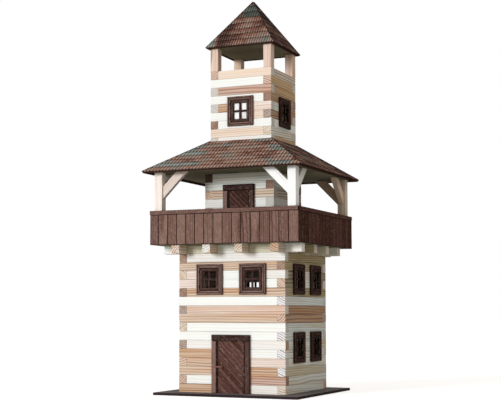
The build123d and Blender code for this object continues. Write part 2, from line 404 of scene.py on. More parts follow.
roofPaintSettings = {
    # Paint colours, each with its place on the brush's range
    "paints": [
        (0.28, "#4A312A"), (0.38, "#744A3F"), (0.50, "#977261"), (0.60, "#8A7870"), (0.67, "#62706B"),
        (0.80, "#84908A"),
    ],
    "patchLong": 46.0,    # mm along a row, over which the brush changes colour
    "rowShift": 0.61,     # how unlike each other two neighbouring rows are
    "brush": (7.0, 2.2),  # mm, how long and how high the strokes of a nearly dry brush are
    # The rubbed colour is partly worn paint and partly painted highlight on the tiles' noses and crowns
    "rubbed": "#BFAE9F",
    "rubbedHighlightShare": 0.8,
    "grooveShade": 0.3,
    "noseShade": 0.55,
    "rightShadeDarker": 0.14,  # the right panel is painted plain darker brown as painted shade, and its painted groove and row shade is flattened
    "rightShade": 0.8,
    "rightFlatter": 0.8,
}


def makeRoofPaint(name, rowLong, settings):
    # Pressed fibreboard tiles under matt brushed paint: painted shade in the grooves, and rubbed pale on each tile's
    # nose, partly worn paint and partly painted highlight
    paint = roofPaintSettings
    material, tree = newMaterial(name)
    place = addNode(tree, "Attribute", {"attribute_name": "slopePlace"}).outputs["Vector"]
    parts = addNode(tree, "SeparateXYZ", {0: place}).outputs
    rows = addNode(tree, "Math", {"operation": "DIVIDE", 0: parts[1], 1: rowLong})
    row = addNode(tree, "Math", {"operation": "FLOOR", 0: rows})
    inRow = addNode(tree, "Math", {"operation": "FRACT", 0: rows})
    columns = addNode(tree, "Math", {"operation": "DIVIDE", 0: parts[0], 1: settings["tileWide"]})
    inColumn = addNode(tree, "Math", {"operation": "PINGPONG", 0: columns, 1: 0.5})

    # The brush changes colour from row to row and along a row
    rowShift = addNode(tree, "Math", {"operation": "MULTIPLY", 0: row, 1: paint["rowShift"]})
    alongRow = addNode(tree, "Math", {"operation": "DIVIDE", 0: parts[0], 1: paint["patchLong"] * mm})
    rowPlace = addNode(tree, "CombineXYZ", {0: alongRow, 1: rowShift, 2: parts[2]})
    patch = addNode(tree, "TexNoise", {"Scale": 1.0, "Detail": 2.0, "Roughness": 0.5, "Vector": rowPlace})
    brushLong, brushHigh = paint["brush"]
    brush = addNode(tree, "Mapping", {"Scale": (1 / (brushLong * mm), 1 / (brushHigh * mm), 1), "Vector": place})
    brush = addNode(tree, "TexNoise", {"Scale": 1.0, "Detail": 3.0, "Roughness": 0.6, "Vector": brush})
    uneven = addNode(tree, "Math", {"operation": "MULTIPLY_ADD", 0: brush, 1: 0.3, 2: -0.15 - settings["darker"]})
    patch = addNode(tree, "MapRange", {"clamp": False, **limits(patch, 0, 1, -0.2, 1.2)})
    mixed = addNode(tree, "Math", {"operation": "ADD", 0: patch, 1: uneven})

    # A few strokes along single rows of the front panel
    isFront = addNode(tree, "Math", {"operation": "LESS_THAN", 0: parts[2], 1: 0.5})
    isRight = addNode(tree, "Math", {"operation": "COMPARE", 0: parts[2], 1: 1.0, 2: 0.1})
    strokePlace = addNode(tree, "CombineXYZ", {0: parts[0], 1: row})
    for middle, middleRow, halfLong, halfRows, push in settings["strokes"]:
        away = addNode(tree, "VectorMath", {"operation": "SUBTRACT", 0: strokePlace, 1: (middle * mm, middleRow, 0)})
        away = addNode(tree, "VectorMath", {"operation": "DIVIDE", 0: away, 1: (halfLong * mm, halfRows, 1)})
        length = addNode(tree, "VectorMath", {"operation": "LENGTH", 0: away})
        share = addNode(tree, "MapRange", limits(length, 1.1, 0.6, 0, push))
        mixed = addNode(tree, "Math", {"operation": "MULTIPLY_ADD", 0: share, 1: isFront, 2: mixed})
    mixed = addNode(tree, "Math", {"operation": "MULTIPLY_ADD", 0: isRight, 1: -paint["rightShadeDarker"], 2: mixed})
    paints = addNode(tree, "ValToRGB", {0: mixed, "stops": [(at, toLinear(text)) for at, text in paint["paints"]]})

    # Rubbed pale on the noses and crowns of the tiles: partly worn paint, partly painted highlight
    rubAndHighlight = addNode(tree, "MapRange", limits(inRow, 0.75, 0.25, 0, 1))
    crown = addNode(tree, "MapRange", limits(inColumn, 0.14, 0.34, 0, 1))
    rubbing = addNode(tree, "MapRange", limits(brush, 0.36, 0.62, 0, paint["rubbedHighlightShare"]))
    dryness = addNode(tree, "MapRange", limits(mixed, 0.3, 0.48, 0.3, 1))
    for factor in (crown, rubbing, dryness):
        rubAndHighlight = addNode(tree, "Math", {"operation": "MULTIPLY", 0: rubAndHighlight, 1: factor})
    colour = addNode(tree, "Mix", {"data_type": "RGBA", 0: rubAndHighlight, 6: paints, 7: toLinear(paint["rubbed"])})

    # Painted shade: dark in the grooves, a painted shadow under the next row, and darker on the cut noses that the low
    # lamp lights
    shade = addNode(tree, "MapRange", limits(inColumn, 0.05, 0.22, paint["grooveShade"], 1))
    step = addNode(tree, "MapRange", limits(inRow, 0.98, 0.8, settings["stepShade"], 1))
    nose = addNode(tree, "MapRange", limits(inRow, 0.04, 0.12, paint["noseShade"], 1))
    for factor in (step, nose):
        shade = addNode(tree, "Math", {"operation": "MULTIPLY", 0: shade, 1: factor})
    # On the right panel the painted groove and row shade is evened out, and the panel darkened as painted shade
    flatter = addNode(tree, "Math", {"operation": "MULTIPLY", 0: isRight, 1: paint["rightFlatter"]})
    shade = addNode(tree, "Mix", {"data_type": "FLOAT", 0: flatter, 2: shade, 3: paint["rightShade"]})
    paintedSideShade = {"operation": "MULTIPLY_ADD", 0: isRight, 1: paint["rightShade"] - 1, 2: 1.0}
    paintedSideShade = addNode(tree, "Math", paintedSideShade)
    lastRows = settings["rows"] - 4, settings["rows"] - 3
    head = addNode(tree, "MapRange", limits(row, *lastRows, 1, settings["headShade"]))
    for factor in (paintedSideShade, head, settings["bright"]):
        shade = addNode(tree, "Math", {"operation": "MULTIPLY", 0: shade, 1: factor})
    colour = addNode(tree, "VectorMath", {"operation": "SCALE", 0: colour, "Scale": shade})
    bump = addNode(tree, "Bump", {"Strength": 0.4, "Distance": 0.12 * mm, "Height": brush})
    return endMaterial(material, {
        "Base Color": colour, "Normal": bump, "Roughness": 0.8, "Specular IOR Level": 0.05,
    })


def makePlainWood(name, hexText, roughness, specular=0.1):
    # One colour in a faint cloud, for edges, strips and fittings
    material, tree = newMaterial(name)
    place = addNode(tree, "TexCoord", {}).outputs["Object"]
    noise = addNode(tree, "TexNoise", {"Scale": 120.0, "Detail": 4.0, "Vector": place})    # clouds of about 8 mm
    shade = addNode(tree, "MapRange", limits(noise, 0.3, 0.7, 0.8, 1.1))
    colour = addNode(tree, "VectorMath", {"operation": "SCALE", 0: toLinear(hexText)[:3], "Scale": shade})
    return endMaterial(material, {"Base Color": colour, "Roughness": roughness, "Specular IOR Level": specular})


veneerSettings = {
    "long": 35.0,     # mm
    "wide": 1.4,      # mm, drawn coarser than the real 0.5 mm pores, so that it shows
    "cloud": 30.0,    # mm
    "relief": 0.08,   # mm
}


def makeBoard(name, faceHex, edgeHex):
    # Thin ply: fine veneer grain along X on its faces, and a darker sawn edge
    material, tree = newMaterial(name)
    place = addNode(tree, "TexCoord", {}).outputs["Object"]
    long, wide, cloud = [1 / (veneerSettings[key] * mm) for key in ("long", "wide", "cloud")]
    grain = addNode(tree, "Mapping", {"Scale": (long, wide, wide), "Vector": place})
    grain = addNode(tree, "TexNoise", {"Scale": 1.0, "Detail": 3.0, "Roughness": 0.6, "Vector": grain})
    clouds = addNode(tree, "TexNoise", {"Scale": cloud, "Detail": 2.0, "Vector": place})
    both = addNode(tree, "Math", {"operation": "ADD", 0: grain, 1: clouds})
    shade = addNode(tree, "MapRange", limits(both, 0.75, 1.3, 0.75, 1.2))
    normal = addNode(tree, "NewGeometry", {}).outputs["Normal"]
    upward = addNode(tree, "SeparateXYZ", {0: normal}).outputs[2]
    isFace = addNode(tree, "Math", {"operation": "ABSOLUTE", 0: upward})
    colour = addNode(tree, "Mix", {"data_type": "RGBA", 0: isFace, 6: toLinear(edgeHex), 7: toLinear(faceHex)})
    colour = addNode(tree, "VectorMath", {"operation": "SCALE", 0: colour, "Scale": shade})
    bump = addNode(tree, "Bump", {"Strength": 0.4, "Distance": veneerSettings["relief"] * mm, "Height": grain})
    return endMaterial(material, {
        "Base Color": colour, "Normal": bump, "Roughness": 0.8, "Specular IOR Level": 0.05,
    })


# Sticks of square strip

stripWide = 10 * mm
easedArris = 0.45 * mm
courseJoint = 0.06 * mm    # half the fine line between two courses

pithSettings = {
    "swing": (15, 50),                # degrees off the upright of a lying stick
    "reach": (13 * mm, 38 * mm),      # from the stick's middle
    "lean": 0.03,
}


def choosePith(middle, along):
    # A growth centre outside the stick, mostly above or below a lying one, so that the lines cross its outer side,
    # and the direction of its growth lines, a little off the stick's own
    along = Vector(along).normalized()
    other = Vector((0, 0, 1)) if abs(along.z) < 0.5 else Vector((1, 1, 0)).normalized()
    side = along.cross(other).normalized()
    swing = math.radians(random.uniform(*pithSettings["swing"])) * random.choice((-1, 1))
    reach = random.uniform(*pithSettings["reach"]) * random.choice((-1, 1))
    pith = middle + (other * math.cos(swing) + side * math.sin(swing)) * reach
    lean = Vector([random.uniform(-pithSettings["lean"], pithSettings["lean"]) for _ in range(3)])
    return pith, (along + lean).normalized()


def addWoodLayers(mesh):
    return (
        mesh.attributes.new("tone", "FLOAT_COLOR", "CORNER"),
        mesh.attributes.new("pith", "FLOAT_VECTOR", "FACE"),
        mesh.attributes.new("along", "FLOAT_VECTOR", "FACE"),
    )


def paintFace(layers, face, tone, drift, strength, pith, direction):
    # Stores what the grained wood reads: colour and strength of the growth lines, their centre and direction
    toneLayer, pithLayer, alongLayer = layers
    colour = [c * drift for c in toLinear(woodTones[tone])[:3]]
    for corner in face.loop_indices:
        toneLayer.data[corner].color = (*colour, strength)
    pithLayer.data[face.index].vector = pith
    alongLayer.data[face.index].vector = direction


def turnLayers(piece, turn, shift):
    # The stored growth centres and directions follow a piece that was moved and turned
    turned = Matrix.Rotation(turn * math.pi / 2, 3, "Z")
    for value in piece.data.attributes["pith"].data:
        value.vector = turned @ (Vector(value.vector) + Vector(shift))
    for value in piece.data.attributes["along"].data:
        value.vector = turned @ Vector(value.vector)


def stick(corners, along, tone, endTone, grain=0.3, endGrain=0.6):
    # Low and high corner, direction, tones of sides and ends, and how strongly the growth lines show on them
    low, high = corners
    return {
        "low": Vector(low), "high": Vector(high), "along": Vector(along), "tone": tone, "endTone": endTone,
        "grain": grain, "endGrain": endGrain,
    }


def addSticks(name, sticks, materials, edgeIndex=-1, bevel=easedArris):
    piece = startPiece(name)
    for one in sticks:
        addBox((one["low"] + one["high"]) / 2, one["high"] - one["low"])
    bpy.ops.object.mode_set(mode="OBJECT")
    layers = addWoodLayers(piece.data)
    for index, one in enumerate(sticks):
        pith, direction = choosePith((one["low"] + one["high"]) / 2, one["along"])
        drift = random.uniform(0.97, 1.0)
        for face in piece.data.polygons[6 * index:6 * index + 6]:
            isEnd = abs(face.normal.dot(one["along"])) > 0.7
            tone, strength = ("endTone", "endGrain") if isEnd else ("tone", "grain")
            paintFace(layers, face, one[tone], drift, one[strength], pith, direction)
    bpy.ops.object.mode_set(mode="EDIT")
    return endPiece(piece, materials, bevel, 2, edgeIndex)


def quarterTurned(low, high, turn):
    # The box between two corners, turned about the tower's axis
    for _ in range(turn):
        low, high = (-high[1], low[0], low[2]), (-low[1], high[0], high[2])
    return low, high


# Log walls

sideNames = ["front", "right", "back", "left"]
outwardAlong = [(1, 0, 0), (0, 1, 0), (1, 0, 0), (0, 1, 0)]

wallSettings = {
    "courses": {"lower": 16, "middle": 8, "upper": 12},
    "doorWide": {"lower": 32.1 * mm, "middle": 23.9 * mm},
    "doorCourses": 6,
    "holeWide": 22 * mm,
    "holeCourses": 2,
    "sink": 0.25 * mm,    # the logs stand this uneven
}

# Each row of windows: its body, the course that its holes start on, and how far they lie from the wall's middle
windowRows = {
    "ground_windows": ("lower", 4, 27 * mm),
    "first_floor_windows": ("lower", 12, 27 * mm),
    "upper_windows": ("upper", 6, 0),
}

# Tones of the logs on the sides that the photograph shows, from the lowest course up
# Pieces of one course are given from left to right, and the last word is the end grain in the corner
# On the right walls the greenish tints are partly painted shade, and the moss and olive courses at the top of the
# lower right wall are painted shade under the gallery. The middle front wall's tones are paler than the wood as
# painted light under the roof, and its two greenish top courses are painted shade
seenTones = {
    "lower front": [
        "honey cream straw", "milk rose flame", "tan honey stripe", "tan blush flame", "honey milk stripe",
        "cream mauve", "milk stripe", "milk straw", "tan flame", "peach mauve", "milk stripe", "tan umber",
        "blush milk milk flame",
        "blush milk cream straw", "tan clay", "cream clay",
    ],
    "lower right": [
        "sage tan", "sage clay", "reed ash", "sage ash", "sage sage sage ash", "frost sage reed oak",
        "frost ash", "frost ash", "oak mauve", "oak ash", "frost ash", "moss mauve", "olive sage olive ash",
        "olive sage olive ash", "moss ash", "moss ash",
    ],
    "middle front": [
        "cream milk ash", "cream straw umber", "blush milk ash", "milk cream mauve", "cream milk ash", "tan straw tan",
        "sage umber", "sage bark",
    ],
    "middle right": [
        "milk ash", "straw ash", "milk ash", "sage ash", "milk clay", "straw ash", "sage clay", "straw ash",
    ],
    "upper front": [
        "blush ash", "blush mauve", "milk umber", "cream ash", "apricot straw", "milk umber",
        "milk apricot mauve", "honey blush ash", "milk umber", "rose ash", "milk flame", "apricot flame",
    ],
    "upper right": [
        "tan ash", "straw ash", "tan umber", "tawny ash", "sage ash", "milk ash",
        "oak oak ash", "sage oak ash", "oak umber", "tawny ash", "tawny ash", "straw ash",
    ],
}

# How strongly the growth lines show on sticks of some tones
grainOf = {
    "milk": (0.06, 0.16), "cream": (0.1, 0.25), "ivory": (0.1, 0.2), "apricot": (0.2, 0.4), "rose": (0.5, 0.8),
    "sage": (0.3, 0.5), "frost": (0.3, 0.5), "reed": (0.4, 0.6), "oak": (0.6, 0.85), "stripe": (1.0, 1.2),
    "flame": (0.95, 1.15), "blush": (0.3, 0.5), "ash": (0.15, 0.4),
}
rightGrain = 1.3    # they are bolder on the right walls

plainTones = ["milk", "cream", "cream", "blush", "straw", "tan", "honey", "rose"]
plainEnds = ["ash", "mauve", "clay", "umber", "straw", "tan"]


def firstCourse(node, turn):
    # On the back and the left of the lower body the windows sit a course lower
    body, course, _ = windowRows[node]
    return course - 1 if body == "lower" and turn > 1 else course


def hasWindows(node, turn):
    return not (node == "ground_windows" and turn == 0)


def holesOf(body, turn, course):
    # Where the wall is open on this course, as stretches along the wall
    half = wallSettings["holeWide"] / 2
    for node, (rowBody, _, shift) in windowRows.items():
        first = firstCourse(node, turn)
        if rowBody == body and hasWindows(node, turn) and first <= course < first + wallSettings["holeCourses"]:
            return [(x - half, x + half) for x in sorted({-shift, shift})]
    if turn == 0 and body in wallSettings["doorWide"] and course < wallSettings["doorCourses"]:
        half = wallSettings["doorWide"][body] / 2
        return [(-half, half)]
    return []


def logWall(body, turn):
    low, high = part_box(body + "_front_wall")
    side = high[0] - low[0]
    told = seenTones.get(body + " " + sideNames[turn])
    sticks = []
    for course in range(wallSettings["courses"][body]):
        left = -side / 2 if course % 2 == 0 else -side / 2 + stripWide
        edges = [left, *sum(holesOf(body, turn, course), ()), left + side - stripWide]
        words = told[course].split() if told else []
        z = low[2] + course * stripWide
        for place, (start, end) in enumerate(zip(edges[::2], edges[1::2])):
            tone = words[min(place, len(words) - 2)] if told else random.choice(plainTones)
            sink = random.uniform(0, wallSettings["sink"])
            corners = quarterTurned(
                (start, -side / 2 + sink, z + courseJoint),
                (end, -side / 2 + stripWide, z + stripWide - courseJoint), turn)
            endTone = random.choice(plainEnds)
            grain = random.uniform(*grainOf.get(tone, (0.5, 0.9))) * (rightGrain if turn == 1 else 1)
            sticks.append(stick(corners, outwardAlong[turn], tone, endTone, grain, random.uniform(0.4, 1.0)))
    return sticks


def tellEnds(walls):
    # The end grain seen in a corner of a face belongs to the log of the wall round that corner
    for body, turn in walls:
        told = seenTones.get(body + " " + sideNames[turn], [])
        low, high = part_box(body + "_front_wall")
        half = (high[0] - low[0]) / 2 - 0.5 * mm
        for course, words in enumerate(told):
            neighbour = (turn + 1) % 4 if course % 2 == 0 else (turn - 1) % 4
            z = low[2] + (course + 0.5) * stripWide
            for one in walls[body, neighbour]:
                reaches = one["low"].y < -half if turn == 0 else one["high"].x > half
                if one["low"].z < z < one["high"].z and reaches:
                    one["endTone"] = words.split()[-1]
                    one["endGrain"] = random.uniform(*grainOf.get(one["endTone"], (0.6, 1.0)))


def buildWalls(material):
    walls = {(body, turn): logWall(body, turn) for body in wallSettings["courses"] for turn in range(4)}
    tellEnds(walls)
    for (body, turn), sticks in walls.items():
        name = sideNames[turn]
        if body == "lower" and turn % 2 == 0:
            sticks += infillSticks(turn)
        piece = addSticks(body + name.capitalize() + "Logs", sticks, [material])
        dress(piece, "log_wood", body + "_" + name + "_wall")


# Joists, posts and braces

joistSettings = {
    "inner": [-22.4 * mm, 17.6 * mm],
    "ends": ["blush", "milk", "straw", "honey"],
    "infillSink": 0.3 * mm,
    "stubPitch": 40 * mm,
    "stubTones": [("milk", "chalk"), ("moss", "ash"), ("reed", "straw"), ("sage", "reed")],    # side and end
}


def joistPlaces():
    low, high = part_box("through_joists")
    return [low[0] + stripWide / 2] + joistSettings["inner"] + [high[0] - stripWide / 2]


def infillSticks(turn):
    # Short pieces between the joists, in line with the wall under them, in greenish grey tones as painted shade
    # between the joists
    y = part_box("lower_front_wall")[0][1] + joistSettings["infillSink"]
    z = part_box("through_joists")[0][2]
    places = joistPlaces()
    sticks = []
    for here, beyond in zip(places, places[1:]):
        low = (here + stripWide / 2, y, z + courseJoint)
        high = (beyond - stripWide / 2, y + stripWide - joistSettings["infillSink"], z + stripWide - courseJoint)
        if turn == 2:
            low, high = (low[0], -high[1], low[2]), (high[0], -low[1], high[2])
        sticks.append(stick((low, high), (1, 0, 0), random.choice(["reed", "sage"]), "tan"))
    return sticks


def buildJoists(material):
    low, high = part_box("through_joists")
    sticks = []
    for x, end in zip(joistPlaces(), joistSettings["ends"]):
        corners = (x - stripWide / 2, low[1], low[2]), (x + stripWide / 2, high[1], high[2])
        sticks.append(stick(corners, (0, 1, 0), "straw", end, 0.6, 0.9))
    dress(addSticks("throughJoists", sticks, [material]), "strip_wood", "through_joists")
    for node in ("right_joist_stubs", "left_joist_stubs"):
        low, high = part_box(node)
        sticks = []
        for place, (tone, end) in enumerate(joistSettings["stubTones"]):
            y = low[1] + place * joistSettings["stubPitch"]
            sticks.append(stick(((low[0], y, low[2]), (high[0], y + stripWide, high[2])), (1, 0, 0), tone, end))
        dress(addSticks(node.split("_")[0] + "JoistStubs", sticks, [material]), "strip_wood", node)


postSettings = {
    # Tones of the front left, back left, front right and back right post
    # The near front right post takes chalk, paler than the wood, as painted light against the roof's shade
    "gallery": ["ivory", "tan", "chalk", "straw"],
    "belfry": ["peach", "tan", "peach", "peach"],
    "grain": {"chalk": 0.08, "ivory": 0.2},    # and 0.6 on all others
}


def buildPosts(material):
    for body in ("gallery", "belfry"):
        low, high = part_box(body + "_posts")
        places = [(x, y) for x in (low[0], high[0] - stripWide) for y in (low[1], high[1] - stripWide)]
        sticks = []
        for (x, y), tone in zip(places, postSettings[body]):
            corners = (x, y, low[2]), (x + stripWide, y + stripWide, high[2])
            sticks.append(stick(corners, (0, 0, 1), tone, "tan", postSettings["grain"].get(tone, 0.6)))
        dress(addSticks(body + "Posts", sticks, [material]), "strip_wood", body + "_posts")


braceSettings = {
    # Tones of the left and the right brace of each side
    # The front right brace takes chalk as well, as painted light
    "front": ("blush", "chalk"),
    "right": ("cream", "tan"),
    "back": ("tan", "straw"),
    "left": ("straw", "cream"),
    "grain": 0.25,
    "outset": 0.35,    # of the strip, that a brace's middle lies outside the straight line from foot to head
}


def buildBraces(material):
    # Slanted struts cut upright where they meet the post and level where they meet the ceiling
    low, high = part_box("gallery_braces_front")
    foot, top = high[0], high[2]
    reach = high[2] - low[2]
    back = reach / 2 - stripWide * braceSettings["outset"]
    for turn, name in enumerate(sideNames):
        tones = braceSettings[name]
        piece = startPiece("braces" + name.capitalize())
        for side in (-1, 1):
            place = (side * (foot - back), (low[1] + high[1]) / 2, top - back)
            addBox(place, (2 * reach, high[1] - low[1], stripWide), (0, side * math.pi / 4, 0))
        cutAway([((foot, 0, 0), (1, 0, 0)), ((-foot, 0, 0), (-1, 0, 0)), ((0, 0, top), (0, 0, 1))])
        endPiece(piece, [material], easedArris)

        def splitBrace(point):
            isRight = point.x > 0
            return isRight, (1, 0, -1 if isRight else 1), tones[isRight]

        paintJoinery(piece, splitBrace, grain=braceSettings["grain"])
        setPlace(piece, (0, 0, turn * math.pi / 2))
        turnLayers(piece, turn, (0, 0, 0))
        dress(piece, "strip_wood", "gallery_braces_" + name)


# Gallery parapet

parapetSettings = {
    "boards": 16,
    "gap": 0.17 * mm,
    "boardDeep": 3.2 * mm,
    "sink": 0.2 * mm,
    "railHigh": 5 * mm,
    "railGap": 0.1 * mm,
    "backing": 0.9 * mm,    # a sheet behind the boards, dark in their gaps
    "tones": ["stainA", "stainB", "stainC", "stainD"],
    # The right side's boards take these darker door stains, as painted shade
    "rightPaintedShadeTones": ["doorA", "doorB", "doorD"],
    "edge": 0.35 * mm,
}


def buildParapets(materials):
    settings = parapetSettings
    low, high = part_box("parapet_front")
    sideLow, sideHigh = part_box("parapet_right")
    face = high[1] - settings["boardDeep"]
    behind = high[1] - settings["backing"]
    top = high[2] - settings["railHigh"]
    pitch = (high[0] - low[0]) / settings["boards"]
    for turn, name in enumerate(sideNames):
        half = (high[0] - low[0] if turn % 2 == 0 else sideHigh[1] - sideLow[1]) / 2
        edges = [-half] + [low[0] + pitch * i for i in range(1, settings["boards"])] + [half]
        tones = settings["rightPaintedShadeTones"] if turn == 1 else settings["tones"]
        sticks = []
        for start, end in zip(edges, edges[1:]):
            sink = random.uniform(0, settings["sink"])
            corners = (start + settings["gap"], face + sink, low[2]), (end - settings["gap"], behind, top)
            tone = random.choice(tones)
            grain = random.uniform(0.5, 1.0)
            sticks.append(stick(quarterTurned(*corners, turn), (0, 0, 1), tone, "char", grain, 0.2))
        corners = quarterTurned((-half, behind, low[2]), (half, high[1], top), turn)
        sticks.append(stick(corners, outwardAlong[turn], "joinery", "char", 0.6, 0.2))
        corners = quarterTurned((-half, low[1], top + settings["railGap"]), (half, high[1], high[2]), turn)
        # The right side's rail is darker too, as painted shade
        railTone = "doorA" if turn == 1 else "stainC"
        sticks.append(stick(corners, outwardAlong[turn], railTone, "char", 0.7, 0.2))
        piece = addSticks("parapet" + name.capitalize() + "Boards", sticks, materials, 1, settings["edge"])
        dress(piece, "stained_boards", "parapet_" + name)


# Windows

windowSettings = {
    "wide": 33.2 * mm,
    "high": 35.5 * mm,
    "corner": 0.8 * mm,
    # The moulding from the outer edge inwards: how far each line lies in, and how proud of the wall it is
    "moulding": [
        (0.0, 2.2), (0.8, 3.0), (1.7, 3.0), (1.9, 2.5), (2.4, 2.5), (2.6, 2.95), (3.6, 2.9), (4.3, 2.3), (4.6, 1.65),
        (5.0, 1.65), (5.3, 2.4), (7.4, 2.45), (8.3, 1.9),
    ],
    # The faces in these bands of the moulding are painted near black, as painted shade in its grooves
    "grooves": [(1.75 * mm, 2.5 * mm), (4.2 * mm, 5.1 * mm)],
    "rim": 0.3 * mm,        # the dark outer edge
    "mitre": 0.2 * mm,      # half a mitre's dark joint
    "sashFrom": 5.1 * mm,
    "barsFrom": 7.5 * mm,
    "barWide": 2.3 * mm,
    "barProud": 1.9 * mm,
    "edge": 0.25 * mm,
    "lift": 1.8 * mm,       # the windows of the ground floor sit this much above their holes' middle
    "hingeIn": 3.9 * mm,
    "hingeRise": 8.6 * mm,
    "hingeProud": 2.2 * mm,
    "hingeRadius": 0.75 * mm,
    "hingeLong": 3.2 * mm,
    "hingeMark": (0.9 * mm, 1.7 * mm),    # half its width and height
    "hingeFront": 2.5 * mm,
}


def fromEdges(point):
    # How far a point of a window lies in from its nearer side and from its nearer end
    return windowSettings["wide"] / 2 - abs(point.x), windowSettings["high"] / 2 - abs(point.z)


def isDarkFace(face):
    # The charred outer rim, the grooves painted near black as painted shade, the mitre joints and the hinge marks of a
    # window
    settings = windowSettings
    middle = face.center
    fromSide, fromEnd = fromEdges(middle)
    inward = min(fromSide, fromEnd)
    isMitre = abs(fromSide - fromEnd) < 2 * settings["mitre"] and inward < settings["barsFrom"]
    isRim = inward < settings["rim"] and abs(face.normal.y) < 0.5
    isGroove = any(start < inward < end for start, end in settings["grooves"])
    markSide, markEnd = settings["hingeMark"]
    offSide = abs(middle.x + settings["wide"] / 2 - settings["hingeIn"])
    offMiddle = abs(abs(middle.z) - settings["hingeRise"])
    isHinge = middle.y < -settings["hingeFront"] and offSide < markSide and offMiddle < markEnd
    return isRim or isGroove or isMitre or isHinge


def makeWindow(materials):
    # The front window of a wall whose face is at y = 0, with its middle at the origin
    settings = windowSettings
    piece = startPiece("windowPattern")
    wide, high = settings["wide"], settings["high"]
    outline = settings["moulding"]
    proud, casing = outline[0][1] * mm, outline[-1][0] * mm
    addBox((0, -proud / 2, 0), (wide, proud, high))
    selectBy(piece, "FACE", lambda points: all(p.y > -proud * 0.1 for p in points))
    bpy.ops.mesh.inset(thickness=casing, depth=0)
    bpy.ops.mesh.delete(type="FACE")
    selectBy(piece, "FACE", lambda points: all(p.y < -proud * 0.9 for p in points))
    for (here, depth), (beyond, nextDepth) in zip(outline, outline[1:]):
        bpy.ops.mesh.inset(thickness=(beyond - here) * mm, depth=0)
        bpy.ops.transform.translate(value=(0, (depth - nextDepth) * mm, 0))
    bpy.ops.mesh.extrude_region_move(TRANSFORM_OT_translate={"value": (0, outline[-1][1] * mm, 0)})
    bpy.ops.mesh.delete(type="FACE")
    bpy.ops.mesh.select_all(action="SELECT")
    bpy.ops.mesh.remove_doubles(threshold=0.02 * mm)
    selectBy(piece, "EDGE", lambda points: all(abs(p.x) > wide * 0.499 and abs(p.z) > high * 0.499 for p in points))
    bpy.ops.mesh.bevel(offset=settings["corner"], segments=2, affect="EDGES")
    for x in (-1, 1):
        for z in (-1, 1):
            # A thin strip of faces along each mitre, to be painted as its joint
            for off in (-settings["mitre"], settings["mitre"]):
                selectBy(piece, "FACE", lambda points: sum(p.x * x + p.z * z for p in points) > 0)
                place = (x * wide / 2 + x * off, 0, z * high / 2 - z * off)
                bpy.ops.mesh.bisect(plane_co=place, plane_no=(x, 0, -z))
    bpy.ops.mesh.select_all(action="DESELECT")
    paneWide, paneHigh = wide - 2 * casing, high - 2 * casing
    barWide, barProud = settings["barWide"], settings["barProud"]
    addBox((0, -barProud / 2, 0), (barWide, barProud, paneHigh))
    for side in (-1, 1):
        place = (side * (paneWide + barWide) / 4, -barProud / 2 + 0.1 * mm, 0)
        addBox(place, ((paneWide - barWide) / 2, barProud, barWide))
    for rise in (-settings["hingeRise"], settings["hingeRise"]):
        place = (-wide / 2 + settings["hingeIn"], -settings["hingeProud"], rise)
        addRod(8, settings["hingeRadius"], settings["hingeLong"], place, (0, 0, 0))
    endPiece(piece, materials, settings["edge"])
    for face in piece.data.polygons:
        if isDarkFace(face):
            face.material_index = 1
    return piece


def paintJoinery(piece, split, tones=None, grain=1.0):
    # Grain follows each member: split gives a point's member, the member's direction and perhaps its tone
    layers = addWoodLayers(piece.data)
    members = {}
    for face in piece.data.polygons:
        key, along, *tone = split(face.center)
        if key not in members:
            pith, direction = choosePith(face.center, along)
            tone = random.choice(tone or tones)
            strength = random.uniform(0.5, 1.0) * grain
            members[key] = tone, random.uniform(0.8, 1.0), strength, pith, direction
        paintFace(layers, face, *members[key])


# The windows on the right side take the next darker tone of each part, as painted shade on that side
paintedShadeTones = {"joineryPale": "joineryDark", "joineryDark": "joineryDeep", "joineryDeep": "char"}


def splitWindow(middle):
    # Upright stiles and level rails, of the casing, the sash and the bars
    fromSide, fromEnd = fromEdges(middle)
    inward = min(fromSide, fromEnd)
    band, tone = "casing", "joineryPale"
    if inward > windowSettings["sashFrom"]:
        band, tone = "sash", "joineryDark"
    if inward > windowSettings["barsFrom"]:
        band, tone = "bars", "joineryDeep"
    if fromSide < fromEnd:
        return (band, "stile", middle.x > 0), (0, 0, 1), tone
    return (band, "rail", middle.z > 0), (1, 0, 0), tone


def splitWindowPaintedShade(middle):
    key, along, tone = splitWindow(middle)
    return key, along, paintedShadeTones[tone]


def buildWindows(materials):
    pattern = makeWindow(materials)
    for node, (body, _, shift) in windowRows.items():
        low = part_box(body + "_front_wall")[0]
        parts = []
        for turn in range(4):
            if not hasWindows(node, turn):
                continue
            z = low[2] + (firstCourse(node, turn) + 1) * stripWide
            if node == "ground_windows":
                z += windowSettings["lift"]
            for x in sorted({-shift, shift}):
                window = quarterCopy(pattern, 0, "window")
                if x > 0:
                    setPlace(window, (0, math.pi, 0))    # hung on its other side
                paintJoinery(window, splitWindowPaintedShade if turn == 1 else splitWindow)
                setPlace(window, place=(x, low[1], z))
                setPlace(window, (0, 0, turn * math.pi / 2))
                turnLayers(window, turn, (x, low[1], z))
                parts.append(window)
        pickOnly(*parts)
        bpy.ops.object.join()
        joined = bpy.context.active_object
        joined.name = joined.data.name = "".join(word.capitalize() for word in node.split("_"))
        dress(joined, "stained_joinery", node)
    pickOnly(pattern)
    bpy.ops.object.delete()


cardSettings = {"gap": 0.1 * mm, "thick": 0.6 * mm, "short": 0.2 * mm}


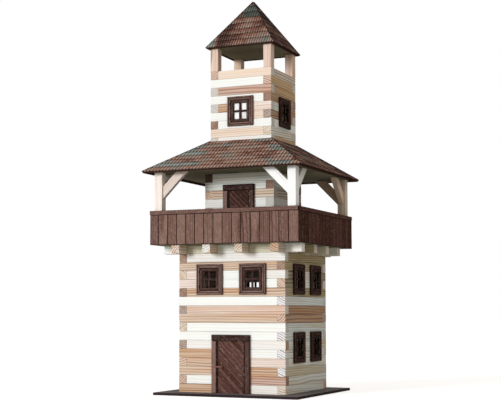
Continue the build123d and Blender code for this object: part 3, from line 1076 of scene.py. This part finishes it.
def buildCard(material):
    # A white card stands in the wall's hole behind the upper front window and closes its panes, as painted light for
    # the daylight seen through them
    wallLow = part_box("upper_front_wall")[0]
    half = wallSettings["holeWide"] / 2 - cardSettings["gap"]
    z = wallLow[2] + (firstCourse("upper_windows", 0) + 1) * stripWide
    front = wallLow[1] + cardSettings["gap"]
    low = Vector((-half, front, z - stripWide + cardSettings["short"]))
    high = Vector((half, front + cardSettings["thick"], z + stripWide - cardSettings["short"]))
    piece = startPiece("upperWindowDaylightCard")
    addBox((low + high) / 2, high - low)
    dress(endPiece(piece, [material], 0.1 * mm, 1), "plain_board")


# Doors

frameSettings = {
    "jambWide": 7.7 * mm,
    "jambDeep": 3.0 * mm,
    "headHigh": 7.0 * mm,
    "rebate": 1.7 * mm,
    "rebateDeep": 1.0 * mm,
    "joint": 0.1 * mm,
    "edge": 0.5 * mm,
}


def buildFrame(node, name, materials):
    # Two jambs with a rebate beside the leaf, under a plain head. The left jamb is painted paler as painted light, the
    # right jamb and the head darker as painted shade, and the rebate near black as painted shade in the gap
    low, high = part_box(node)
    settings = frameSettings
    under = high[2] - settings["headHigh"]
    front = high[1] - settings["jambDeep"]
    sticks = []
    # Paler left jamb as painted light, darker right jamb as painted shade
    for side, outer, tone in ((-1, low[0], "joineryPale"), (1, high[0], "joineryDark")):
        inner = outer - side * settings["jambWide"]
        edge = inner + side * settings["rebate"]
        jamb = (outer, edge), front, tone, 0.8
        # The rebate's near black is painted shade in the gap beside the leaf
        rebate = (edge, inner), front + settings["rebateDeep"], "char", 0.2
        for ends, face, shade, grain in (jamb, rebate):
            corners = (min(ends), face, low[2]), (max(ends), high[1], under - settings["joint"])
            sticks.append(stick(corners, (0, 0, 1), shade, "char", grain))
    sticks.append(stick(((low[0], low[1], under), high), (1, 0, 0), "joineryDeep", "char", 0.9))
    dress(addSticks(name, sticks, materials, 1, settings["edge"]), "stained_joinery", node)


leafSettings = {
    "boardWide": 4.4 * mm,
    "boardDeep": 1.6 * mm,
    "boardShift": 0.35,     # of a board, that the middle one lies off the leaf's middle
    "slant": 45,            # degrees, falling to the right
    "gap": 0.3 * mm,
    "sink": 0.2 * mm,
    "thick": 4 * mm,
    "coreIn": 0.7,          # of the boards' depth
    "edge": 0.3 * mm,
    "tones": ["doorA", "doorB", "doorC"],
}


def buildLeaf(node, frameNode, name, materials):
    # Slanted boards on a plain core
    settings = leafSettings
    low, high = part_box(frameNode)
    leafLow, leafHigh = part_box(node)
    left, right = low[0] + frameSettings["jambWide"], high[0] - frameSettings["jambWide"]
    sill, head = leafLow[2], leafHigh[2]
    back = leafHigh[1]
    front = back - settings["thick"]
    slant = math.radians(settings["slant"])
    pitch, deep = settings["boardWide"], settings["boardDeep"]
    middle = Vector(((left + right) / 2, front + deep / 2, (sill + head) / 2))
    span = head - sill + right - left
    normal = Vector((math.sin(slant), 0, math.cos(slant)))
    direction = (math.cos(slant), 0, -math.sin(slant))
    boards = int(span / pitch)
    piece = startPiece(name)
    for board in range(-boards // 2, boards // 2 + 1):
        uneven = Vector((0, random.uniform(0, settings["sink"]), 0))
        place = middle + normal * (board + settings["boardShift"]) * pitch + uneven
        addBox(place, (2 * span, deep, pitch - settings["gap"]), (0, slant, 0))
    sides = [((left, 0, 0), (-1, 0, 0)), ((right, 0, 0), (1, 0, 0))]
    cutAway(sides + [((0, 0, sill), (0, 0, -1)), ((0, 0, head), (0, 0, 1))])
    core = deep * settings["coreIn"]
    addBox((middle.x, (front + core + back) / 2, middle.z), (right - left, back - front - core, head - sill))
    endPiece(piece, materials, settings["edge"], 1, 1)

    def splitBoard(point):
        return round((point - middle).dot(normal) / pitch - settings["boardShift"]), direction

    paintJoinery(piece, splitBoard, settings["tones"])
    dress(piece, "stained_joinery", node)
    return left, front, sill


handleSettings = {
    "in": 5.2 * mm,         # from the leaf's edge
    "rise": 30 * mm,        # above the sill
    "proud": 2.6 * mm,
    "long": 9.5 * mm,
    "rod": 2.1 * mm,
    # Radius and thickness, and how proud of the leaf the middle stands
    "plate": (1.9 * mm, 0.8 * mm, 0.3 * mm),
    "cover": (1.1 * mm, 1.0 * mm, 0.4 * mm),
    "coverRise": 4.4 * mm,
    "edge": 0.35 * mm,
}


def buildHandle(name, left, front, sill, material):
    # A lever on a round neck with its plate, and a keyhole cover above it
    settings = handleSettings
    rod = settings["rod"]
    x, y, z = left + settings["in"], front - settings["proud"], sill + settings["rise"]
    handle = startPiece(name)
    addRod(12, rod / 2, front - y + rod / 2, (x, (front + y) / 2, z))
    addBox((x + (rod - settings["long"]) / 2, y, z), (settings["long"], rod * 0.9, rod))
    for sides, part, lift in ((16, "plate", 0), (12, "cover", settings["coverRise"])):
        radius, thick, proud = settings[part]
        addRod(sides, radius, thick, (x, front - proud, z + lift))
    endPiece(handle, [material], settings["edge"], 3)
    dress(handle, "stained_joinery")


# Tiled roofs

roofSettings = {
    "gallery": {
        "rows": 8, "tileWide": 4.25 * mm, "rise": 1.0 * mm, "board": 2.2 * mm, "pitch": 33.1, "hipWide": 1.1 * mm,
        "darker": -0.02, "bright": 1.2, "stepShade": 0.55, "headShade": 1.0,
        # Strokes of paint: place along the row (mm), row, half length (mm), half width (rows), how far up the paints
        "strokes": [
            (-70, 1, 28, 1.2, 0.2), (-52, 4, 22, 1.3, 0.18), (-38, 6, 14, 0.7, 0.12), (22, 7, 12, 0.7, 0.18),
            (36, 5, 16, 0.8, 0.13), (70, 2, 20, 2, 0.08),
        ],
    },
    "belfry": {
        "rows": 8, "tileWide": 3.2 * mm, "rise": 0.9 * mm, "board": 2.3 * mm, "pitch": 54.6, "hipWide": 1.0 * mm,
        "darker": 0.04, "bright": 0.95, "stepShade": 0.7, "headShade": 0.42,
        "strokes": [
            (0, 6.8, 30, 2.6, 0.3), (-42, 0.4, 13, 1.2, 0.5), (-30, 2, 14, 2.6, -0.24), (-18, 3, 18, 0.8, -0.16),
            (14, 2, 16, 0.7, -0.1), (-22, 0.4, 16, 1.3, -0.12), (24, 0, 16, 0.7, 0.22), (28, 1, 9, 0.7, 0.15),
        ],
    },
}


tileSettings = {
    # Shares of the pitch and length of a row, and then of the tile's own width and rise
    "wide": 0.94,
    "long": 0.995,
    "headDrop": 0.75,
    "noseRounding": 0.3,
    "ridgeRounding": 0.42,
}


def makeTile(settings, long):
    # One tile lying flat, its lower end at y = 0: a long rounded ridge that thins towards its head
    wide, rise = settings["tileWide"] * tileSettings["wide"], settings["rise"]
    piece = startPiece("tile")
    addBox((0, long / 2, rise / 2), (wide, long, rise))
    selectBy(piece, "VERT", lambda points: points[0].y > long * 0.9 and points[0].z > rise / 2)
    bpy.ops.transform.translate(value=(0, 0, -rise * tileSettings["headDrop"]))

    def isNoseEdge(points):
        return all(p.y < long * 0.1 for p in points) and abs(points[0].x - points[1].x) < wide * 0.1

    def isTopEdge(points):
        return all(p.z > rise * 0.1 for p in points) and min(points[0].y, points[1].y) < long * 0.3

    selectBy(piece, "EDGE", isNoseEdge)
    bpy.ops.mesh.bevel(offset=wide * tileSettings["noseRounding"], segments=2, affect="EDGES")
    selectBy(piece, "EDGE", isTopEdge)
    bpy.ops.mesh.bevel(offset=rise * tileSettings["ridgeRounding"], segments=2, affect="EDGES")
    bpy.ops.mesh.select_all(action="SELECT")
    bpy.ops.mesh.remove_doubles(threshold=0.01 * mm)
    bpy.ops.object.mode_set(mode="OBJECT")
    return piece


def addArray(piece, count, offset):
    modifier = piece.modifiers.new("repeat", "ARRAY")
    modifier.use_relative_offset = False
    modifier.use_constant_offset = True
    modifier.constant_offset_displace = offset
    modifier.count = count
    pickOnly(piece)
    bpy.ops.object.modifier_apply(modifier=modifier.name)


def roofPanel(body, settings, innerHalf, slopeLong, materials):
    # The front panel, measured along its top face from the eave tip up to the wall or the apex
    low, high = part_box(body + "_roof_front")
    slope = math.radians(settings["pitch"])
    eaveHalf = high[0]
    thick = settings["board"] + settings["rise"]
    rowLong = slopeLong / settings["rows"]
    tile = makeTile(settings, rowLong * tileSettings["long"])
    columns = 2 * math.ceil(eaveHalf / settings["tileWide"]) + 2
    addArray(tile, columns, (settings["tileWide"], 0, 0))
    addArray(tile, settings["rows"], (0, rowLong, 0))
    tile.name = tile.data.name = body + "RoofFrontTiles"
    endPiece(tile, materials)
    setPlace(tile, place=(-(columns - 1) * settings["tileWide"] / 2, 0, settings["board"] - 0.05 * mm))
    # Tipped to its pitch about the eave and set with its top on the solid roof's top
    foot = Vector((0, -eaveHalf + thick * math.sin(slope), low[2]))
    setPlace(tile, (slope, 0, 0), foot)
    cuts = [((0, 0, 0), (-1, 1, 0)), ((0, 0, 0), (1, 1, 0))]
    if innerHalf:
        cuts.append(((0, -innerHalf - 0.05 * mm, 0), (0, 1, 0)))
    bpy.ops.object.mode_set(mode="EDIT")
    cutAway(cuts + [((0, -eaveHalf + 0.02 * mm, 0), (0, -1, 0))])
    # The board under the tiles is cut on its own, so that its cut faces don't join the tiles'
    bpy.ops.mesh.select_all(action="DESELECT")
    middle = foot + Matrix.Rotation(slope, 3, "X") @ Vector((0, slopeLong * 0.6, settings["board"] / 2))
    addBox(middle, (2 * eaveHalf, slopeLong * 1.2, settings["board"]), (slope, 0, 0))
    tile.active_material_index = 1
    bpy.ops.object.material_slot_assign()
    cutAway(cuts, linkedOnly=True)
    bpy.ops.mesh.select_all(action="SELECT")
    bpy.ops.mesh.normals_make_consistent(inside=False)
    bpy.ops.object.mode_set(mode="OBJECT")
    # The paint reads each point's place along the row and up the slope, and its side of the roof
    place = tile.data.attributes.new("slopePlace", "FLOAT_VECTOR", "POINT")
    for vertex in tile.data.vertices:
        away = vertex.co - foot
        place.data[vertex.index].vector = (vertex.co.x, away.y * math.cos(slope) + away.z * math.sin(slope), 0)
    return tile


hipSettings = {
    "inset": 0.7 * mm,         # from the eave corner
    "footSink": 0.2 * mm,
    "headSink": 0.5 * mm,
    "apexGap": 0.6 * mm,
    "thick": 0.9 * mm,
}


def buildHips(body, settings, innerHalf, material):
    # A thin strip covers each mitre, from the eave corner up to the wall or the apex
    low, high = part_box(body + "_roof_front")
    slope = math.radians(settings["pitch"])
    foot = high[0] - hipSettings["inset"]
    top = low[2] + (settings["board"] + settings["rise"]) * math.cos(slope)
    head = innerHalf or hipSettings["apexGap"]
    headTop = top - hipSettings["headSink"] + (high[0] - head) * math.tan(slope)
    piece = startPiece(body + "RoofHips")
    for across in (-1, 1):
        for back in (-1, 1):
            start = Vector((across * foot, back * foot, top - hipSettings["footSink"]))
            end = Vector((across * head, back * head, headTop))
            turn = (end - start).to_track_quat("X", "Z").to_euler()
            addBox((start + end) / 2, ((end - start).length, settings["hipWide"], hipSettings["thick"]), turn)
    endPiece(piece, [material], 0.3 * mm)
    dress(piece, "roof_tiles")


def buildRoofs(edgeMaterial, hipMaterial):
    for body, innerHalf in (("gallery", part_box("upper_front_wall")[1][0]), ("belfry", 0)):
        settings = roofSettings[body]
        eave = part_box(body + "_roof_front")[1][0]
        slopeLong = (eave - innerHalf) / math.cos(math.radians(settings["pitch"]))
        paint = makeRoofPaint(body + "TilePaint", slopeLong / settings["rows"], settings)
        front = roofPanel(body, settings, innerHalf, slopeLong, [paint, edgeMaterial])
        for turn in (1, 2, 3):
            name = sideNames[turn]
            copy = quarterCopy(front, turn, body + "Roof" + name.capitalize() + "Tiles")
            for value in copy.data.attributes["slopePlace"].data:
                value.vector = (value.vector[0], value.vector[1], turn)
            dress(copy, "roof_tiles", body + "_roof_" + name)
        dress(front, "roof_tiles", body + "_roof_front")
        buildHips(body, settings, innerHalf, hipMaterial)


addCamera()
addLights()
addFloor()
print("camera, light and floor are set")

# Sawn spruce and pine strip, unsealed: matt, with growth lines that run out along each stick
stripPine = makeGrainWood("sawnPineStrip", grainSettings["pine"])
# Sawn boards under a thin dark oil stain: matt, with rubbed flecks and scuffs
stainedBoard = makeGrainWood("oilStainedBoard", grainSettings["stain"])
# Edges scorched by the cutter, and the window grooves painted with the same near black as painted shade: nearly black
# and quite dull
charAndGrooveShade = makePlainWood("charAndGrooveShade", "#2B1F1C", 0.85)
# Fibreboard edges and hip strips under thick brown paint: smooth and dark, with no gloss, the eave edges darkened
# further as painted shade
roofEdgeAndShade = makePlainWood("boardEdgePaintAndShade", "#3B2823", 0.7, 0.0)
hipStrip = makePlainWood("paintedHipStrip", "#3E2C27", 0.7, 0.0)
# Handles in copper-coloured craft paint: reddish brown, with a soft sheen
handleCopper = makePlainWood("copperPaintedHandle", "#6E4638", 0.5, 0.2)
# Uncoated card, bright and matt: painted light that makes the panes look open to the daylight
paintedDaylightCard = makePlainWood("paintedDaylightCard", "#FAFAF8", 0.9)
# Oiled ply of the floor and the ceilings: a dull greenish brown with darker edges, darkened as painted shade under the
# roofs
plywoodPaintedShade = makeBoard("oiledPlywoodPaintedShade", "#78725B", "#5A4A3A")
# Ply of the base under a grey-brown stain: its face pale in the light, its edges dark
baseWood = makeBoard("stainedBasePlywood", "#767071", "#33282A")
for name, node in frame["nodes"].items():
    isPlain = "ceiling" in name or name == "gallery_floor"
    node.data.materials.clear()
    node.data.materials.append(plywoodPaintedShade if isPlain else baseWood)

buildWalls(stripPine)
buildJoists(stripPine)
buildPosts(stripPine)
buildBraces(stripPine)
print("log walls, joists and posts are built")
joinery = [stainedBoard, charAndGrooveShade]
buildParapets(joinery)
print("the parapet is boarded")
buildWindows(joinery)
buildFrame("entrance_frame", "entranceFrame", joinery)
buildFrame("gallery_door_frame", "galleryDoorFrame", joinery)
for door, name in (("entrance", "entranceLeafBoards"), ("gallery_door", "galleryLeafBoards")):
    corner = buildLeaf(door + "_leaf", door + "_frame", name, joinery)
    buildHandle(name + "Handle", *corner, handleCopper)
buildCard(paintedDaylightCard)
print("windows and doors are hung")
buildRoofs(roofEdgeAndShade, hipStrip)
print("the roofs are tiled")

scene = bpy.context.scene
scene.view_settings.view_transform = "Standard"
